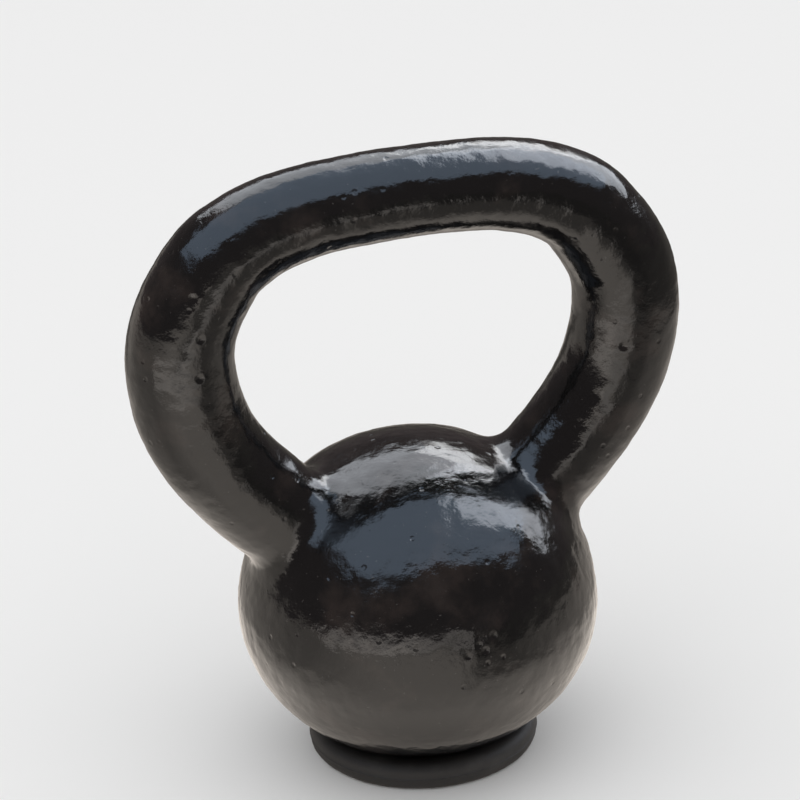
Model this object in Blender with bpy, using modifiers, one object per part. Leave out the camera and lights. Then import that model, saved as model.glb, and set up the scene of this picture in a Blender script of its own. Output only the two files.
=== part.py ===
"""A 12 kg iron kettlebell on a rubber foot, standing upright. Metres, +Z up, +X across the handle.

The origin is on the floor, under the middle of the ball. The ball and its loop handle are one casting.
A button-head screw and a washer hold the rubber foot under it, in a recess that stays off the floor.
"""

import math

import bmesh
import bpy

# Ball, turned about Z: nearly round above its middle and flatter below it, with a flat underside in the foot
BALL_RADIUS = 0.0686
BALL_TOP_HALF_HEIGHT = 0.0668
BALL_BOTTOM_HALF_HEIGHT = 0.0572
BALL_MIDDLE_Z = 0.0597
UNDERSIDE_Z = 0.0083
BALL_SEGMENTS = 44

# Handle: half of its centre line from inside the ball to the middle of the grip, as x, height above
# the middle of the ball, and radius. The horns are thicker than the grip.
ROOT = (0.0204, 0.0283, 0.0243)
HORN = (0.0539, 0.0482, 0.0205)
BEND = (0.0862, 0.1083, 0.0204)
SHOULDER = (0.0735, 0.1468, 0.0190)
CORNER_END = (0.0590, 0.1583, 0.0181)
GRIP_END = (0.0400, 0.1643, 0.0173)
GRIP_SIDE = (0.0200, 0.1666, 0.0170)
GRIP_MIDDLE = (0.0, 0.1672, 0.0169)
HANDLE_SIDES = 20
HANDLE_STEPS = 5  # pieces of tube between one station and the next

# Foot: a pad with a seat for the ball on top and a recess for the screw below
FOOT_RADIUS = 0.0438
FOOT_HEIGHT = 0.0105
FOOT_EDGE_RADIUS = 0.0038
SEAT_DEPTH = 0.0025
RECESS_RADIUS = 0.0130
RECESS_DEPTH = 0.0052
FOOT_SEGMENTS = 48

# Screw and washer
SCREW_RADIUS = 0.0025
SCREW_TOP_Z = 0.0210
SCREW_HEAD_RADIUS = 0.00475
SCREW_HEAD_TOP_Z = 0.0034
SCREW_HEAD_HEIGHT = 0.0026
SOCKET_ACROSS_FLATS = 0.0030
SOCKET_DEPTH = 0.0015
WASHER_RADIUS = 0.0100
WASHER_THICKNESS = 0.0012
HARDWARE_SEGMENTS = 24

GAP = 0.0003  # between pieces that touch
CLEARANCE = 0.0004  # round the screw
SMOOTH_ANGLE = math.radians(35)


def clear_scene():
    for obj in list(bpy.data.objects):
        bpy.data.objects.remove(obj, do_unlink=True)


def new_collection(name):
    collection = bpy.data.collections.new(name)
    bpy.context.scene.collection.children.link(collection)
    return collection


def new_material(name, colour, roughness, metallic):
    material = bpy.data.materials.new(name)
    material.use_nodes = True
    shader = material.node_tree.nodes["Principled BSDF"]
    shader.inputs["Base Color"].default_value = (*colour, 1.0)
    shader.inputs["Roughness"].default_value = roughness
    shader.inputs["Metallic"].default_value = metallic
    return material


def arc(centre_x, centre_z, radius_x, radius_z, start, end, count):
    """Points on an ellipse from one angle to another, in degrees, where 0 points along +X and 90 along +Z."""
    points = []
    for i in range(count + 1):
        angle = math.radians(start + (end - start) * i / count)
        points.append((centre_x + radius_x * math.cos(angle), centre_z + radius_z * math.sin(angle)))
    return points


def turned(name, profile, segments, collection, ring=False):
    """The outline (x, z) spun about Z. A ring's outline closes on itself, and any other ends on the axis."""
    mesh = bpy.data.meshes.new(name)
    outline = bmesh.new()
    corners = [outline.verts.new((x, 0.0, z)) for x, z in profile]
    for first, second in zip(corners, corners[1:]):
        outline.edges.new((first, second))
    if ring:
        outline.edges.new((corners[-1], corners[0]))
    outline.to_mesh(mesh)
    outline.free()
    obj = bpy.data.objects.new(name, mesh)
    collection.objects.link(obj)
    screw = obj.modifiers.new("Spin", "SCREW")
    screw.steps = segments
    screw.render_steps = segments
    screw.use_merge_vertices = True
    screw.merge_threshold = 0.00001
    return obj


def make_cutter(obj):
    obj.hide_render = True
    obj.display_type = "WIRE"


def combine(obj, other, operation):
    boolean = obj.modifiers.new(operation.title(), "BOOLEAN")
    boolean.operation = operation
    boolean.solver = "EXACT"
    boolean.object = other


def evaluated_mesh(obj):
    bpy.context.view_layer.update()
    return bpy.data.meshes.new_from_object(obj.evaluated_get(bpy.context.evaluated_depsgraph_get()))


def finish(obj, material):
    """Turns the modifiers into real mesh and gives the piece its shading and material."""
    mesh = evaluated_mesh(obj)
    mesh.name = obj.name
    obj.modifiers.clear()
    obj.data = mesh
    mesh.shade_smooth()
    mesh.set_sharp_from_angle(angle=SMOOTH_ANGLE)
    mesh.materials.clear()
    mesh.materials.append(material)


def handle_tube(collection):
    """The loop handle as a solid tube whose two ends are buried in the ball."""
    half = (ROOT, HORN, BEND, SHOULDER, CORNER_END, GRIP_END, GRIP_SIDE)
    stations = [(-x, z, r) for x, z, r in half] + [GRIP_MIDDLE] + list(reversed(half))
    curve = bpy.data.curves.new("handle_line", "CURVE")
    curve.dimensions = "3D"
    curve.resolution_u = HANDLE_STEPS
    curve.bevel_depth = 1.0
    curve.bevel_resolution = (HANDLE_SIDES - 4) // 2
    curve.use_fill_caps = True
    spline = curve.splines.new("BEZIER")
    spline.radius_interpolation = "CARDINAL"
    spline.bezier_points.add(len(stations) - 1)
    for point, (x, z, radius) in zip(spline.bezier_points, stations):
        point.co = (x, 0.0, BALL_MIDDLE_Z + z)
        point.radius = radius
        point.handle_left_type = "AUTO"
        point.handle_right_type = "AUTO"
    line = bpy.data.objects.new("handle_line", curve)
    collection.objects.link(line)
    mesh = evaluated_mesh(line)
    welder = bmesh.new()
    welder.from_mesh(mesh)
    bmesh.ops.remove_doubles(welder, verts=welder.verts, dist=0.00001)
    bmesh.ops.recalc_face_normals(welder, faces=welder.faces)
    welder.to_mesh(mesh)
    welder.free()
    tube = bpy.data.objects.new("handle_tube", mesh)
    tube.matrix_world = line.matrix_world
    collection.objects.link(tube)
    bpy.data.objects.remove(line)
    make_cutter(tube)
    return tube


def ball_radius_at(z):
    """Radius of the ball at a height above the floor, below its middle."""
    return BALL_RADIUS * math.sqrt(1.0 - ((z - BALL_MIDDLE_Z) / BALL_BOTTOM_HALF_HEIGHT) ** 2)


def ball_and_handle(parts, cutters, material):
    underside_angle = math.degrees(math.asin((UNDERSIDE_Z - BALL_MIDDLE_Z) / BALL_BOTTOM_HALF_HEIGHT))
    top_half = arc(0.0, BALL_MIDDLE_Z, BALL_RADIUS, BALL_TOP_HALF_HEIGHT, 90.0, 0.0, 13)
    bottom_half = arc(0.0, BALL_MIDDLE_Z, BALL_RADIUS, BALL_BOTTOM_HALF_HEIGHT, 0.0, underside_angle, 9)
    outside = top_half + bottom_half[1:]
    outside[0] = (0.0, BALL_MIDDLE_Z + BALL_TOP_HALF_HEIGHT)
    hole_radius = SCREW_RADIUS + CLEARANCE
    hole_top_z = SCREW_TOP_Z + 0.001
    hole = [(hole_radius, UNDERSIDE_Z), (hole_radius, hole_top_z), (0.0, hole_top_z + hole_radius / 2)]
    casting = turned("ball_and_handle_casting", outside + hole, BALL_SEGMENTS, parts)
    combine(casting, handle_tube(cutters), "UNION")
    finish(casting, material)


def rubber_foot(parts, material):
    seat_z = FOOT_HEIGHT - SEAT_DEPTH
    inner = FOOT_RADIUS - FOOT_EDGE_RADIUS
    edge = FOOT_EDGE_RADIUS
    top_edge = arc(inner, FOOT_HEIGHT - edge, edge, edge, 90.0, 0.0, 5)
    bottom_edge = arc(inner, edge, edge, edge, 0.0, -90.0, 5)
    seat = [(ball_radius_at(UNDERSIDE_Z) + GAP, seat_z), (ball_radius_at(FOOT_HEIGHT) + 2 * GAP, FOOT_HEIGHT)]
    recess = [(RECESS_RADIUS, 0.0), (RECESS_RADIUS, RECESS_DEPTH)]
    hole_radius = SCREW_RADIUS + CLEARANCE
    hole = [(hole_radius, RECESS_DEPTH), (hole_radius, seat_z)]
    outline = top_edge + bottom_edge + recess + hole + seat
    foot = turned("rubber_foot", outline, FOOT_SEGMENTS, parts, ring=True)
    finish(foot, material)


def foot_washer(parts, material):
    top_z = RECESS_DEPTH - GAP
    bottom_z = top_z - WASHER_THICKNESS
    hole_radius = SCREW_RADIUS + CLEARANCE
    chamfer = 0.0003
    outline = [
        (WASHER_RADIUS, top_z),
        (WASHER_RADIUS, bottom_z + chamfer),
        (WASHER_RADIUS - chamfer, bottom_z),
        (hole_radius, bottom_z),
        (hole_radius, top_z),
    ]
    washer = turned("foot_washer", outline, HARDWARE_SEGMENTS, parts, ring=True)
    finish(washer, material)


def foot_screw(parts, cutters, material):
    head_bottom_z = SCREW_HEAD_TOP_Z - SCREW_HEAD_HEIGHT
    flat_radius = SCREW_HEAD_RADIUS * 0.55
    shank = [
        (0.0, SCREW_TOP_Z),
        (SCREW_RADIUS * 0.8, SCREW_TOP_Z),
        (SCREW_RADIUS, SCREW_TOP_Z - 0.0006),
        (SCREW_RADIUS, SCREW_HEAD_TOP_Z),
        (SCREW_HEAD_RADIUS, SCREW_HEAD_TOP_Z),
    ]
    dome_top_z = SCREW_HEAD_TOP_Z - 0.0004
    dome = arc(flat_radius, dome_top_z, SCREW_HEAD_RADIUS - flat_radius, dome_top_z - head_bottom_z, 0, -90, 5)
    screw = turned("foot_screw", shank + dome + [(0.0, head_bottom_z)], HARDWARE_SEGMENTS, parts)
    socket_mesh = bpy.data.meshes.new("socket_cutter")
    hexagon = bmesh.new()
    across_corners = 2 * SOCKET_ACROSS_FLATS / math.sqrt(3.0)
    bmesh.ops.create_cone(
        hexagon,
        cap_ends=True,
        segments=6,
        radius1=across_corners / 2,
        radius2=across_corners / 2,
        depth=2 * SOCKET_DEPTH,
    )
    hexagon.to_mesh(socket_mesh)
    hexagon.free()
    socket = bpy.data.objects.new("socket_cutter", socket_mesh)
    socket.location = (0.0, 0.0, head_bottom_z)
    cutters.objects.link(socket)
    make_cutter(socket)
    combine(screw, socket, "DIFFERENCE")
    finish(screw, material)


def main():
    clear_scene()
    parts = new_collection("kettlebell")
    cutters = new_collection("kettlebell_cutters")
    cutters.hide_render = True
    enamel = new_material("black_enamel", (0.018, 0.016, 0.015), 0.16, 0.0)
    rubber = new_material("black_rubber", (0.030, 0.028, 0.027), 0.78, 0.0)
    zinc = new_material("zinc_plate", (0.58, 0.58, 0.57), 0.36, 1.0)
    steel = new_material("screw_steel", (0.10, 0.10, 0.105), 0.40, 1.0)
    ball_and_handle(parts, cutters, enamel)
    rubber_foot(parts, rubber)
    foot_washer(parts, zinc)
    foot_screw(parts, cutters, steel)


main()
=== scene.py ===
import math

import bmesh
import bpy
from mathutils import Matrix, Vector
from mathutils.kdtree import KDTree


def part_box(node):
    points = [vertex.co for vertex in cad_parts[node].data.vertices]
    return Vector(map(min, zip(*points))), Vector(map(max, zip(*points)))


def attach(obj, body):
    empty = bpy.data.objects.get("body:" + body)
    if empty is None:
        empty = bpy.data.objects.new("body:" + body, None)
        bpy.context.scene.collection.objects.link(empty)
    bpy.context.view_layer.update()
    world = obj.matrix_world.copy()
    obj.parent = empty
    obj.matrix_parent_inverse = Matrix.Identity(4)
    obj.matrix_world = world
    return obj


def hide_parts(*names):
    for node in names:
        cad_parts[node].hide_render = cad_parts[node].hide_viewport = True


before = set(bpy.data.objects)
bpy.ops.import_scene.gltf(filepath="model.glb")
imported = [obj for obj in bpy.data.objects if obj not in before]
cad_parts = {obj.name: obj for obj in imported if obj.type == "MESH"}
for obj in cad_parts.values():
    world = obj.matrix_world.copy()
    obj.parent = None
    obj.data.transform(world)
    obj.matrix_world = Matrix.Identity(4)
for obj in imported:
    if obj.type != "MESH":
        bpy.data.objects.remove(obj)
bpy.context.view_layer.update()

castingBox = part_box("ball_and_handle_casting")
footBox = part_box("rubber_foot")


def deselectAll():
    if bpy.context.object and bpy.context.mode != "OBJECT":
        bpy.ops.object.mode_set(mode="OBJECT")
    bpy.ops.object.select_all(action="DESELECT")


def makeActive(piece):
    deselectAll()
    piece.select_set(True)
    bpy.context.view_layer.objects.active = piece


def namePiece(name):
    piece = bpy.context.object
    piece.name = name
    piece.data.name = name
    bpy.ops.object.transform_apply(location=True, rotation=True, scale=True)
    return piece


def applyModifier(piece, kind, **settings):
    makeActive(piece)
    modifier = piece.modifiers.new(kind.title(), kind)
    for setting, value in settings.items():
        setattr(modifier, setting, value)
    bpy.ops.object.modifier_apply(modifier=modifier.name)


def startEditing(piece, mode="VERT"):
    makeActive(piece)
    bpy.ops.object.mode_set(mode="EDIT")
    bpy.ops.mesh.select_mode(type=mode)
    bpy.ops.mesh.select_all(action="DESELECT")


def stopEditing():
    bpy.ops.object.mode_set(mode="OBJECT")


# selects by a test on each vertex, edge or face of the piece that is being edited
def pick(piece, kind, test):
    bpy.ops.mesh.select_mode(type={"verts": "VERT", "edges": "EDGE", "faces": "FACE"}[kind])
    bpy.ops.mesh.select_all(action="DESELECT")
    shape = bmesh.from_edit_mesh(piece.data)
    found = [part for part in getattr(shape, kind) if test(part)]
    for part in found:
        part.select_set(True)
    shape.select_flush_mode()
    bmesh.update_edit_mesh(piece.data)


cameraView = {
    "location": (-0.3832, -1.3372, 0.7810),
    "lookAt": (-0.0034, 0.0, 0.1440),
    "tilt": -2.61,  # degrees, turned about the line of sight
    "lens": 184.25,
    "sensor": 36,
    "clip": (0.05, 60),
}


def addCamera():
    bpy.ops.object.camera_add(location=cameraView["location"])
    camera = bpy.context.object
    camera.name = "productCamera"
    sight = Vector(cameraView["lookAt"]) - Vector(cameraView["location"])
    tilt = Matrix.Rotation(math.radians(cameraView["tilt"]), 3, "Z")
    camera.rotation_euler = (sight.to_track_quat("-Z", "Y").to_matrix() @ tilt).to_euler()
    camera.data.lens = cameraView["lens"]
    camera.data.sensor_width = cameraView["sensor"]
    camera.data.clip_start, camera.data.clip_end = cameraView["clip"]
    bpy.context.scene.camera = camera


def newMaterial(name):
    material = bpy.data.materials.new(name)
    material.use_nodes = True
    nodes = material.node_tree.nodes
    links = material.node_tree.links
    return material, nodes, links, nodes["Principled BSDF"]


def addNode(nodes, kind, **settings):
    node = nodes.new(kind)
    for setting, value in settings.items():
        if setting in node.inputs:
            node.inputs[setting].default_value = value
        else:
            setattr(node, setting, value)
    return node


def noiseNode(nodes, links, coordinates, scale, detail, roughness=0.5):
    node = addNode(nodes, "ShaderNodeTexNoise", Scale=scale, Detail=detail, Roughness=roughness)
    links.new(coordinates.outputs["Object"], node.inputs["Vector"])
    return node


def rangeNode(nodes, links, source, low, high, toLow, toHigh, smooth=False):
    node = nodes.new("ShaderNodeMapRange")
    node.interpolation_type = "SMOOTHSTEP" if smooth else "LINEAR"
    node.inputs["From Min"].default_value = low
    node.inputs["From Max"].default_value = high
    node.inputs["To Min"].default_value = toLow
    node.inputs["To Max"].default_value = toHigh
    links.new(source, node.inputs["Value"])
    return node.outputs["Result"]


def mixColours(nodes, links, factor, first, second):
    node = nodes.new("ShaderNodeMix")
    node.data_type = "RGBA"
    links.new(factor, node.inputs["Factor"])
    for socket, value in ((node.inputs[6], first), (node.inputs[7], second)):
        if isinstance(value, tuple):
            socket.default_value = (*value, 1.0)
        else:
            links.new(value, socket)
    return node.outputs[2]


def bumpNode(nodes, links, height, distance, below=None):
    node = addNode(nodes, "ShaderNodeBump", Strength=1.0, Distance=distance)
    links.new(height, node.inputs["Height"])
    if below:
        links.new(below, node.inputs["Normal"])
    return node.outputs["Normal"]


enamel = {
    "black": (0.0042, 0.0040, 0.0042),
    "thinCoat": (0.019, 0.0145, 0.0130),  # where the iron's warm grey comes through
    "thinScale": 42,
    "thinFrom": 0.50,
    "thinTo": 0.72,
    "dust": (0.045, 0.042, 0.039),
    "dustScale": 700,
    "dustFrom": 0.70,
    "dustTo": 0.76,
    "dustMost": 0.8,
    "smearScale": 75,
    "smearFrom": 0.35,
    "smearTo": 0.72,
    "glossLow": 0.055,  # roughness of the cleanest enamel
    "glossHigh": 0.23,  # and of the most smeared
    "grainScale": 260,
    "grainDepth": 0.00020,
    "fineScale": 620,
    "fineDepth": 0.00006,
    "peelScale": 1400,
    "peelDepth": 0.000035,
    "pitScale": 95,
    "pitFrom": 0.04,
    "pitTo": 0.13,
    "pitDepth": 0.00022,
    "refraction": 1.52,
    "coat": 0.25,
    "coatRoughness": 0.04,
}


def enamelMaterial():
    material, nodes, links, shader = newMaterial("glossyBlackEnamel")
    place = nodes.new("ShaderNodeTexCoord")
    patches = noiseNode(nodes, links, place, enamel["thinScale"], 4, 0.6).outputs["Fac"]
    thin = rangeNode(nodes, links, patches, enamel["thinFrom"], enamel["thinTo"], 0, 1, True)
    colour = mixColours(nodes, links, thin, enamel["black"], enamel["thinCoat"])
    specks = noiseNode(nodes, links, place, enamel["dustScale"], 2).outputs["Fac"]
    dusty = rangeNode(nodes, links, specks, enamel["dustFrom"], enamel["dustTo"], 0, enamel["dustMost"], True)
    links.new(mixColours(nodes, links, dusty, colour, enamel["dust"]), shader.inputs["Base Color"])
    smear = noiseNode(nodes, links, place, enamel["smearScale"], 5, 0.65).outputs["Fac"]
    gloss = rangeNode(
        nodes, links, smear, enamel["smearFrom"], enamel["smearTo"], enamel["glossLow"], enamel["glossHigh"]
    )
    links.new(gloss, shader.inputs["Roughness"])
    grain = noiseNode(nodes, links, place, enamel["grainScale"], 3, 0.55)
    below = bumpNode(nodes, links, grain.outputs["Fac"], enamel["grainDepth"])
    fine = noiseNode(nodes, links, place, enamel["fineScale"], 2)
    below = bumpNode(nodes, links, fine.outputs["Fac"], enamel["fineDepth"], below=below)
    peel = noiseNode(nodes, links, place, enamel["peelScale"], 2)
    below = bumpNode(nodes, links, peel.outputs["Fac"], enamel["peelDepth"], below=below)
    pits = addNode(nodes, "ShaderNodeTexVoronoi", Scale=enamel["pitScale"], Randomness=1.0)
    links.new(place.outputs["Object"], pits.inputs["Vector"])
    distance = pits.outputs["Distance"]
    pitShape = rangeNode(nodes, links, distance, enamel["pitFrom"], enamel["pitTo"], 0, 1, True)
    below = bumpNode(nodes, links, pitShape, enamel["pitDepth"], below=below)
    links.new(below, shader.inputs["Normal"])
    shader.inputs["IOR"].default_value = enamel["refraction"]
    shader.inputs["Coat Weight"].default_value = enamel["coat"]
    shader.inputs["Coat Roughness"].default_value = enamel["coatRoughness"]
    return material


rubber = {
    "black": (0.020, 0.019, 0.019),
    "worn": (0.040, 0.037, 0.035),
    "wornScale": 60,
    "wornFrom": 0.42,
    "wornTo": 0.75,
    "roughLow": 0.52,
    "roughHigh": 0.72,
    "grainScale": 1400,
    "grainDepth": 0.00008,
    "rippleScale": 220,
    "rippleDepth": 0.00012,
}


def rubberMaterial():
    material, nodes, links, shader = newMaterial("matteBlackRubber")
    place = nodes.new("ShaderNodeTexCoord")
    blotches = noiseNode(nodes, links, place, rubber["wornScale"], 5, 0.65).outputs["Fac"]
    worn = rangeNode(nodes, links, blotches, rubber["wornFrom"], rubber["wornTo"], 0, 1, True)
    links.new(mixColours(nodes, links, worn, rubber["black"], rubber["worn"]), shader.inputs["Base Color"])
    rough = rangeNode(nodes, links, blotches, 0.3, 0.7, rubber["roughLow"], rubber["roughHigh"])
    links.new(rough, shader.inputs["Roughness"])
    grain = noiseNode(nodes, links, place, rubber["grainScale"], 3, 0.6)
    below = bumpNode(nodes, links, grain.outputs["Fac"], rubber["grainDepth"])
    ripple = noiseNode(nodes, links, place, rubber["rippleScale"], 2)
    below = bumpNode(nodes, links, ripple.outputs["Fac"], rubber["rippleDepth"], below=below)
    links.new(below, shader.inputs["Normal"])
    return material


washerFinish = {
    "name": "zincPlate",
    "bright": (0.62, 0.62, 0.60),
    "dull": (0.42, 0.42, 0.42),
    "rough": (0.28, 0.46),
}

screwFinish = {
    "name": "blackenedSteel",
    "bright": (0.07, 0.07, 0.075),
    "dull": (0.13, 0.125, 0.12),
    "rough": (0.30, 0.48),
}
metalGrain = {"cloudScale": 480, "scratchScale": 2600, "scratchDepth": 0.00002}


def metalMaterial(finish):
    material, nodes, links, shader = newMaterial(finish["name"])
    place = nodes.new("ShaderNodeTexCoord")
    clouding = noiseNode(nodes, links, place, metalGrain["cloudScale"], 4, 0.6).outputs["Fac"]
    colour = mixColours(nodes, links, clouding, finish["bright"], finish["dull"])
    links.new(colour, shader.inputs["Base Color"])
    links.new(rangeNode(nodes, links, clouding, 0.3, 0.7, *finish["rough"]), shader.inputs["Roughness"])
    shader.inputs["Metallic"].default_value = 1.0
    scratches = noiseNode(nodes, links, place, metalGrain["scratchScale"], 2).outputs["Fac"]
    links.new(bumpNode(nodes, links, scratches, metalGrain["scratchDepth"]), shader.inputs["Normal"])
    return material


casting = {
    "ballRadius": castingBox[1].y,
    "ballMiddleZ": 0.0597,
    "topHalfHeight": 0.0668,
    "bottomHalfHeight": 0.0572,
    "undersideZ": castingBox[0].z,
    "holeRadius": 0.0031,
    "holeDepth": 0.0137,
    "ballSegments": 144,
    "ballRings": 72,
    # half of the handle's centre line, from inside the ball: x, height above the ball's middle, radius
    "handleLine": [
        (0.0204, 0.0283, 0.0243),
        (0.0539, 0.0482, 0.0205),
        (0.0862, 0.1083, 0.0204),
        (0.0735, 0.1468, 0.0190),
        (0.0590, 0.1583, 0.0181),
        (0.0400, 0.1643, 0.0173),
        (0.0200, 0.1666, 0.0170),
    ],
    "gripMiddle": (0.0, 0.1672, 0.0169),
    "handleSteps": 16,
    "handleRings": 22,
    "creaseAngle": 22,  # degrees
    "meshSize": 0.00131,
    "evenings": 5,
    "fillets": [(0.013, 22), (0.009, 24), (0.0055, 12)],  # how far from the crease, and how many smoothings
    "swell": (0.032, 0.0007, 1),  # size, height and fineness of the casting's broad unevenness
    "ripple": (0.0105, 0.00045, 1),
    "sandSkin": (0.0040, 0.00034, 2),
    # a patch of blowholes on the front of the ball: degrees to the right of straight ahead, and height
    "blowholeTurn": 5,
    "blowholeHeight": 0.070,
    "blowholeCount": 6,
    "blowholeSpread": 0.009,
    "blowholeRadius": 0.0018,
    "blowholeDepth": 0.0004,
    # knocks on the horns: side, height, degrees round the horn from its front
    "knocks": [(-1, 0.205, -30), (-1, 0.190, -10), (-1, 0.175, 0), (1, 0.160, -10)],
    "knockRadius": 0.0022,
    "knockDepth": 0.0005,
    "flawReach": 0.0042,
    "flawCuts": 2,  # how finely the mesh is divided round them
}


def makeBall():
    radius = casting["ballRadius"]
    middle = (0, 0, casting["ballMiddleZ"])
    bpy.ops.mesh.primitive_uv_sphere_add(
        segments=casting["ballSegments"], ring_count=casting["ballRings"], radius=radius, location=middle
    )
    ball = namePiece("ballAndHandle")
    startEditing(ball)
    pick(ball, "verts", lambda vertex: vertex.co.z > middle[2] + 0.0001)
    bpy.ops.transform.resize(value=(1, 1, casting["topHalfHeight"] / radius), center_override=middle)
    pick(ball, "verts", lambda vertex: vertex.co.z < middle[2] - 0.0001)
    bpy.ops.transform.resize(value=(1, 1, casting["bottomHalfHeight"] / radius), center_override=middle)
    bpy.ops.mesh.select_all(action="SELECT")
    bpy.ops.mesh.bisect(
        plane_co=(0, 0, casting["undersideZ"]),
        plane_no=(0, 0, 1),
        use_fill=True,
        clear_inner=True,
        clear_outer=False,
    )
    pick(ball, "faces", lambda face: len(face.verts) > 20 and face.normal.z < -0.9)
    drop = (middle[2] - casting["undersideZ"]) / casting["bottomHalfHeight"]
    undersideRadius = radius * math.sqrt(1 - drop * drop)
    bpy.ops.mesh.inset(thickness=undersideRadius - casting["holeRadius"])
    bpy.ops.mesh.extrude_region_move(TRANSFORM_OT_translate={"value": (0, 0, casting["holeDepth"])})
    stopEditing()
    return ball


def makeHandle():
    half = casting["handleLine"]
    stations = [(-x, z, r) for x, z, r in half] + [casting["gripMiddle"]] + half[::-1]
    bpy.ops.curve.primitive_bezier_curve_add(location=(0, 0, 0))
    line = bpy.context.object
    line.data.dimensions = "3D"
    line.data.resolution_u = casting["handleSteps"]
    line.data.bevel_depth = 1.0
    line.data.bevel_resolution = casting["handleRings"]
    line.data.use_fill_caps = True
    spline = line.data.splines[0]
    spline.radius_interpolation = "CARDINAL"
    spline.bezier_points.add(len(stations) - len(spline.bezier_points))
    for point, (x, z, radius) in zip(spline.bezier_points, stations):
        point.co = (x, 0, casting["ballMiddleZ"] + z)
        point.radius = radius
        point.handle_left_type = "AUTO"
        point.handle_right_type = "AUTO"
    makeActive(line)
    bpy.ops.object.convert(target="MESH")
    handle = namePiece("handle")
    startEditing(handle)
    bpy.ops.mesh.select_all(action="SELECT")
    bpy.ops.mesh.remove_doubles(threshold=0.00002)
    bpy.ops.mesh.normals_make_consistent(inside=False)
    stopEditing()
    return handle


# the points of the crease where the horns meet the ball
def creasePoints(piece):
    startEditing(piece, "EDGE")
    bpy.ops.mesh.edges_select_sharp(sharpness=math.radians(casting["creaseAngle"]))
    shape = bmesh.from_edit_mesh(piece.data)
    points = [
        (edge.verts[0].co + edge.verts[1].co) / 2
        for edge in shape.edges
        if edge.select and edge.verts[0].co.z > casting["ballMiddleZ"]
    ]
    stopEditing()
    return points


def distanceToPoints(piece, points):
    tree = KDTree(len(points))
    for i, point in enumerate(points):
        tree.insert(point, i)
    tree.balance()
    return [tree.find(vertex.co)[2] for vertex in piece.data.vertices]


def smoothFillets(piece, points):
    for reach, times in casting["fillets"]:
        distances = distanceToPoints(piece, points)
        startEditing(piece)
        pick(piece, "verts", lambda vertex: distances[vertex.index] < reach)
        bpy.ops.mesh.vertices_smooth(factor=0.5, repeat=times)
        stopEditing()


def displace(piece, size, height, fineness):
    texture = bpy.data.textures.new("clouds", "CLOUDS")
    texture.noise_scale = size
    texture.noise_depth = fineness
    applyModifier(piece, "DISPLACE", texture=texture, strength=height, mid_level=0.5, texture_coords="LOCAL")


def placeOnBall(turn, height):
    rise = height - casting["ballMiddleZ"]
    halfHeight = casting["topHalfHeight"] if rise > 0 else casting["bottomHalfHeight"]
    radius = casting["ballRadius"] * math.sqrt(1 - (rise / halfHeight) ** 2)
    return Vector((radius * math.sin(turn), -radius * math.cos(turn), height))


def placeOnHorn(side, height, turn):
    rise = height - casting["ballMiddleZ"]
    line = casting["handleLine"]
    for (x1, z1, r1), (x2, z2, r2) in zip(line, line[1:]):
        if z1 <= rise <= z2:
            share = (rise - z1) / (z2 - z1)
            radius = r1 + (r2 - r1) * share
            x = side * (x1 + (x2 - x1) * share)
            return Vector((x + radius * math.sin(turn), -radius * math.cos(turn), height))


# the blowholes wind outwards from the middle of their patch, and the knocks are where the dictionary says
def listFlaws():
    flaws = []
    for i in range(casting["blowholeCount"]):
        winding = 2.4 * i
        away = casting["blowholeSpread"] * math.sqrt(i / casting["blowholeCount"])
        turn = math.radians(casting["blowholeTurn"]) + away * math.cos(winding) / casting["ballRadius"]
        place = placeOnBall(turn, casting["blowholeHeight"] + away * math.sin(winding))
        size = 1 + 0.25 * math.cos(2 * i)
        flaws.append((place, casting["blowholeRadius"] * size, casting["blowholeDepth"] * size))
    for side, height, degrees in casting["knocks"]:
        place = placeOnHorn(side, height, math.radians(degrees))
        flaws.append((place, casting["knockRadius"], casting["knockDepth"]))
    return flaws


def pressFlaws(piece):
    flaws = listFlaws()
    places = [flaw[0] for flaw in flaws]
    reach = casting["flawReach"]
    startEditing(piece)
    pick(piece, "faces", lambda face: any((face.verts[0].co - place).length < reach for place in places))
    bpy.ops.mesh.subdivide(number_cuts=casting["flawCuts"])
    shape = bmesh.from_edit_mesh(piece.data)
    tree = KDTree(len(shape.verts))
    for vertex in shape.verts:
        tree.insert(vertex.co, vertex.index)
    tree.balance()
    for place, radius, depth in flaws:
        nearest = tree.find(place)[1]
        pick(piece, "verts", lambda vertex: vertex.index == nearest)
        shape = bmesh.from_edit_mesh(piece.data)
        shape.verts.ensure_lookup_table()
        inwards = -shape.verts[nearest].normal * depth
        bpy.ops.transform.translate(
            value=inwards,
            use_proportional_edit=True,
            proportional_edit_falloff="SMOOTH",
            proportional_size=radius,
        )
    stopEditing()


def makeCasting(material):
    ball = makeBall()
    handle = makeHandle()
    applyModifier(ball, "BOOLEAN", operation="UNION", solver="EXACT", object=handle)
    bpy.data.objects.remove(handle)
    crease = creasePoints(ball)
    print("crease points:", len(crease))
    applyModifier(ball, "REMESH", mode="VOXEL", voxel_size=casting["meshSize"])
    startEditing(ball)
    bpy.ops.mesh.select_all(action="SELECT")
    bpy.ops.mesh.vertices_smooth(factor=0.5, repeat=casting["evenings"])
    stopEditing()
    smoothFillets(ball, crease)
    displace(ball, *casting["swell"])
    displace(ball, *casting["ripple"])
    displace(ball, *casting["sandSkin"])
    pressFlaws(ball)
    bpy.ops.object.shade_smooth()
    ball.data.materials.clear()
    ball.data.materials.append(material)
    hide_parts("ball_and_handle_casting")
    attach(ball, "root")
    print("casting:", len(ball.data.polygons), "faces")


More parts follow.
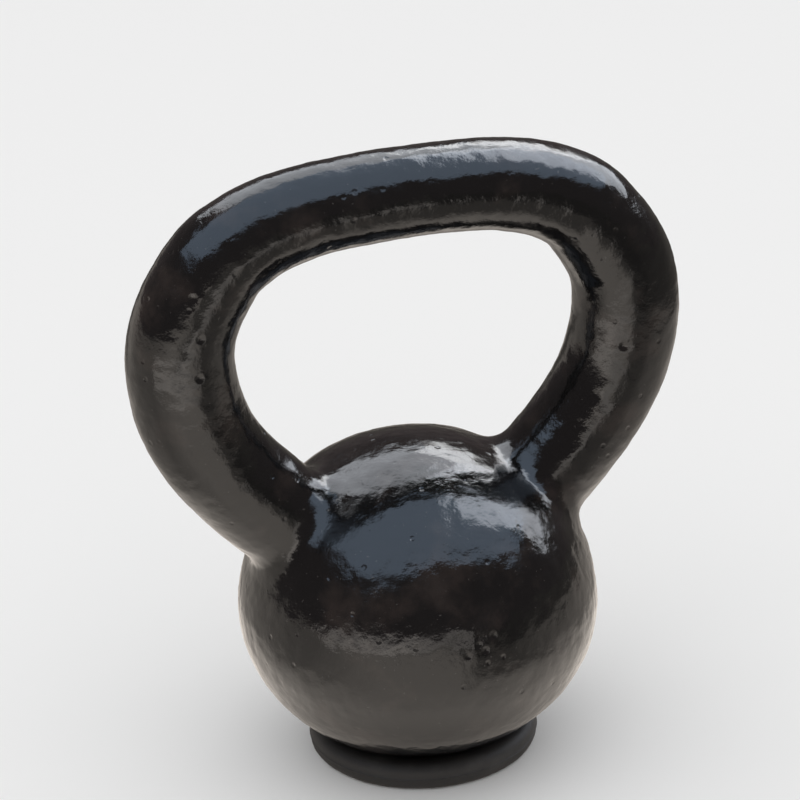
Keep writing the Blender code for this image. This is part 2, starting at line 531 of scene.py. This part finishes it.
foot = {
    "radius": footBox[1].x,
    "height": footBox[1].z,
    "edge": 0.0038,
    "edgeSteps": 8,
    "seatDepth": 0.0025,
    "seatTopRadius": 0.0356,
    "seatFloorRadius": 0.0304,
    "recessRadius": 0.0130,
    "recessDepth": 0.0052,
    "holeRadius": 0.0029,
    "segments": 160,
    "seamHeight": 0.0052,  # the moulding line round the rim
    "seamHalfWidth": 0.0004,
    "seamDepth": 0.0003,
    "wave": (0.012, 0.0003, 1),  # size, height and fineness
    "sharpAngle": 40,  # degrees
}


def insetTo(fromRadius, toRadius):
    bpy.ops.mesh.inset(thickness=fromRadius - toRadius)


def makeFoot(material):
    top = foot["height"]
    bpy.ops.mesh.primitive_cylinder_add(
        vertices=foot["segments"],
        radius=foot["radius"],
        depth=top,
        end_fill_type="NGON",
        location=(0, 0, top / 2),
    )
    pad = namePiece("rubberFoot")
    startEditing(pad, "EDGE")
    pick(pad, "edges", lambda edge: abs(edge.verts[0].co.z - edge.verts[1].co.z) < 1e-6)
    bpy.ops.mesh.bevel(offset=foot["edge"], segments=foot["edgeSteps"], profile=0.5, affect="EDGES")
    flatRadius = foot["radius"] - foot["edge"]
    pick(pad, "faces", lambda face: face.normal.z > 0.99 and len(face.verts) > 20)
    insetTo(flatRadius, foot["seatTopRadius"])
    bpy.ops.mesh.extrude_region_move(TRANSFORM_OT_translate={"value": (0, 0, -foot["seatDepth"])})
    narrowing = foot["seatFloorRadius"] / foot["seatTopRadius"]
    bpy.ops.transform.resize(value=(narrowing, narrowing, 1), center_override=(0, 0, top))
    insetTo(foot["seatFloorRadius"], foot["holeRadius"])
    bpy.ops.mesh.delete(type="FACE")
    pick(pad, "faces", lambda face: face.normal.z < -0.99 and len(face.verts) > 20)
    insetTo(flatRadius, foot["recessRadius"])
    bpy.ops.mesh.extrude_region_move(TRANSFORM_OT_translate={"value": (0, 0, foot["recessDepth"])})
    insetTo(foot["recessRadius"], foot["holeRadius"])
    bpy.ops.mesh.delete(type="FACE")
    pick(pad, "edges", lambda edge: edge.is_boundary)
    bpy.ops.mesh.bridge_edge_loops()
    seam = foot["seamHeight"]
    for height in (seam - foot["seamHalfWidth"], seam, seam + foot["seamHalfWidth"]):
        bpy.ops.mesh.select_all(action="SELECT")
        bpy.ops.mesh.bisect(plane_co=(0, 0, height), plane_no=(0, 0, 1), use_fill=False)
    pick(pad, "verts", lambda vertex: abs(vertex.co.z - seam) < 1e-5 and vertex.co.xy.length > flatRadius)
    widening = 1 + foot["seamDepth"] / foot["radius"]
    bpy.ops.transform.resize(value=(widening, widening, 1), center_override=(0, 0, seam))
    bpy.ops.mesh.select_all(action="SELECT")
    bpy.ops.mesh.normals_make_consistent(inside=False)
    stopEditing()
    displace(pad, *foot["wave"])
    bpy.ops.object.shade_smooth_by_angle(angle=math.radians(foot["sharpAngle"]))
    pad.data.materials.append(material)
    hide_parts("rubber_foot")
    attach(pad, "root")
    print("foot:", len(pad.data.polygons), "faces")


stage = {
    "floorRadius": 6.0,
    "floorColour": (0.88, 0.88, 0.875),
    "paleRoom": (0.90, 0.90, 0.905),  # lights the floor evenly
    "dimRoom": (0.13, 0.11, 0.108),  # what the enamel mirrors between the softboxes
    "middle": (0.0, 0.0, 0.13),
    "paintedReflectionColour": (1.10, 1.0, 0.90),  # colour of the painted reflection: the glowing floor that the enamel mirrors
    # how bright that glowing floor is by degrees to the right of straight ahead: painted light and shade in
    # sectors
    "paintedFloorLight": [
        (-180, 0.3),
        (-140, 0.5),
        (-80, 0.5),
        (-40, 1.0),
        (6, 1.0),
        (14, 0.28),
        (38, 0.28),
        (60, 0.5),
        (180, 0.3),
    ],
    "nearFrom": 0.12,  # the painted reflection is bright all round within these
    "nearTo": 0.26,
    "farFrom": 0.45,  # and painted dim beyond these
    "farTo": 0.55,
    "farLight": 0.3,
    "leftFrom": -0.4,  # except to the left of these
    "leftTo": -0.25,
    # painted shadow round the foot in the glowing floor: where it starts, where it ends, and how dark it is
    # at the foot
    "paintedFootShadow": (0.045, 0.095, 0.35),
    "floorRoughness": 0.9,
    "floorShine": 0.1,
}

# name, azimuth and elevation of its middle as seen from the bell, distance, width, height, radiance, colour
# they lie in the enamel's reflections only
softboxes = [
    ("backSoftbox", 10, 50, 1.6, 1.7, 1.0, 2.5, (0.95, 1.0, 1.07)),
    ("backGlow", 40, 36, 1.6, 0.9, 0.5, 3.0, (1.0, 1.0, 1.0)),
    ("sideSoftbox", 73, 42, 1.6, 1.17, 1.7, 3.6, (0.95, 1.0, 1.08)),
    ("lowFrontSoftbox", -150, -10, 0.35, 0.70, 0.07, 0.85, (1.07, 1.0, 0.94)),
]


ceilingSoftbox = {
    "place": (0.15, -0.185, 0.8),
    "lookAt": (0.15, -0.185, 0),
    "size": (2.1, 0.87),
    "radiance": 1.12,
    "colour": (0.76, 1.0, 1.32),
}

floorFill = {
    "place": (-0.6, -0.6, 2.5),
    "lookAt": (0, 0, 0),
    "size": (3, 3),
    "radiance": 0.35,
    "colour": (1, 1, 1),
    "mirrored": False,
}


def plainMaterial(name, colour):
    material, _, _, shader = newMaterial(name)
    shader.inputs["Base Color"].default_value = (*colour, 1)
    shader.inputs["Roughness"].default_value = stage["floorRoughness"]
    shader.inputs["Specular IOR Level"].default_value = stage["floorShine"]
    return material


def mathNode(nodes, links, operation, first, second=None):
    node = addNode(nodes, "ShaderNodeMath", operation=operation)
    links.new(first, node.inputs[0])
    if second:
        links.new(second, node.inputs[1])
    return node


# the glowing floor that only the enamel's reflections see: a painted reflection, bright on the left and near
# the ball, dim elsewhere, with a painted shadow round the foot
def paintedReflectionFloorMaterial():
    material, nodes, links, shader = newMaterial("mirroredFloor")
    place = nodes.new("ShaderNodeTexCoord")
    axes = nodes.new("ShaderNodeSeparateXYZ")
    links.new(place.outputs["Object"], axes.inputs["Vector"])
    ahead = mathNode(nodes, links, "MULTIPLY", axes.outputs["Y"])
    ahead.inputs[1].default_value = -1
    turn = mathNode(nodes, links, "ARCTAN2", axes.outputs["X"], ahead.outputs["Value"])
    share = rangeNode(nodes, links, turn.outputs["Value"], -math.pi, math.pi, 0, 1)
    ramp = nodes.new("ShaderNodeValToRGB")
    stops = ramp.color_ramp.elements
    for i, (degrees, light) in enumerate(stage["paintedFloorLight"]):
        position = (degrees + 180) / 360
        stop = stops[i] if i < 2 else stops.new(position)
        stop.position = position
        stop.color = (light, light, light, 1)
    links.new(share, ramp.inputs["Fac"])
    length = addNode(nodes, "ShaderNodeVectorMath", operation="LENGTH")
    links.new(place.outputs["Object"], length.inputs[0])
    radius = length.outputs["Value"]
    near = rangeNode(nodes, links, radius, stage["nearFrom"], stage["nearTo"], 1, 0, True)
    far = rangeNode(nodes, links, radius, stage["farFrom"], stage["farTo"], 1, stage["farLight"], True)
    left = rangeNode(nodes, links, axes.outputs["X"], stage["leftFrom"], stage["leftTo"], 1, 0, True)
    # painted shadow: the glowing floor darkens towards the foot
    shadowFrom, shadowTo, shadowLight = stage["paintedFootShadow"]
    paintedFootShade = rangeNode(nodes, links, radius, shadowFrom, shadowTo, shadowLight, 1, True)
    paintedFarShade = mathNode(nodes, links, "MAXIMUM", far, left)
    # painted light: the glow is brighter or dimmer by sector and by distance from the ball
    paintedLightLevel = mathNode(nodes, links, "MAXIMUM", ramp.outputs["Color"], near)
    paintedLightLevel = mathNode(nodes, links, "MULTIPLY", paintedLightLevel.outputs["Value"], paintedFarShade.outputs["Value"])
    paintedLightLevel = mathNode(nodes, links, "MULTIPLY", paintedLightLevel.outputs["Value"], paintedFootShade).outputs["Value"]
    glow = addNode(nodes, "ShaderNodeEmission", Color=(*stage["paintedReflectionColour"], 1))
    links.new(paintedLightLevel, glow.inputs["Strength"])
    links.new(glow.outputs["Emission"], nodes["Material Output"].inputs["Surface"])
    nodes.remove(shader)
    return material


def addFloor(name, material):
    deselectAll()
    bpy.ops.mesh.primitive_circle_add(
        vertices=96, radius=stage["floorRadius"], fill_type="NGON", location=(0, 0, 0)
    )
    floor = namePiece(name)
    floor.data.materials.append(material)
    return floor


def addPanel(name, place, lookAt, size, radiance, colour, mirrored=True):
    bpy.ops.object.light_add(type="AREA", location=place)
    lamp = bpy.context.object
    lamp.name = name
    lamp.data.shape = "RECTANGLE"
    lamp.data.size, lamp.data.size_y = size
    lamp.data.energy = radiance * math.pi * size[0] * size[1]
    lamp.data.color = colour
    lamp.rotation_euler = (Vector(lookAt) - Vector(place)).to_track_quat("-Z", "Y").to_euler()
    lamp.visible_glossy = mirrored
    lamp.visible_diffuse = not mirrored
    lamp.visible_camera = False
    return lamp


def addStage():
    floor = addFloor("paleFloor", plainMaterial("palePaper", stage["floorColour"]))
    floor.visible_glossy = False
    # a glowing floor, no lamp, that paints light and shade into the enamel's reflections
    mirrored = addFloor("paleFloorMirrored", paintedReflectionFloorMaterial())
    mirrored.visible_camera = False
    mirrored.visible_diffuse = False
    mirrored.visible_shadow = False
    mirrored.visible_transmission = False
    world = bpy.data.worlds.new("paleRoom")
    world.use_nodes = True
    nodes, links = world.node_tree.nodes, world.node_tree.links
    ray = nodes.new("ShaderNodeLightPath")
    colour = mixColours(nodes, links, ray.outputs["Is Glossy Ray"], stage["paleRoom"], stage["dimRoom"])
    links.new(colour, nodes["Background"].inputs["Color"])
    bpy.context.scene.world = world
    middle = Vector(stage["middle"])
    for name, azimuth, elevation, distance, width, height, radiance, colour in softboxes:
        turn, rise = math.radians(azimuth), math.radians(elevation)
        towards = Vector((math.sin(turn) * math.cos(rise), math.cos(turn) * math.cos(rise), math.sin(rise)))
        addPanel(name, middle + towards * distance, middle, (width, height), radiance, colour)
    addPanel("ceilingSoftbox", **ceilingSoftbox)
    addPanel("floorFill", **floorFill)
    bpy.context.scene.view_settings.view_transform = "Standard"


addCamera()
addStage()
print("stage and camera are ready")
makeCasting(enamelMaterial())
makeFoot(rubberMaterial())
for node, finish in (("foot_washer", washerFinish), ("foot_screw", screwFinish)):
    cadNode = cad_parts[node]
    cadNode.data.materials.clear()
    cadNode.data.materials.append(metalMaterial(finish))
print("hardware is ready")
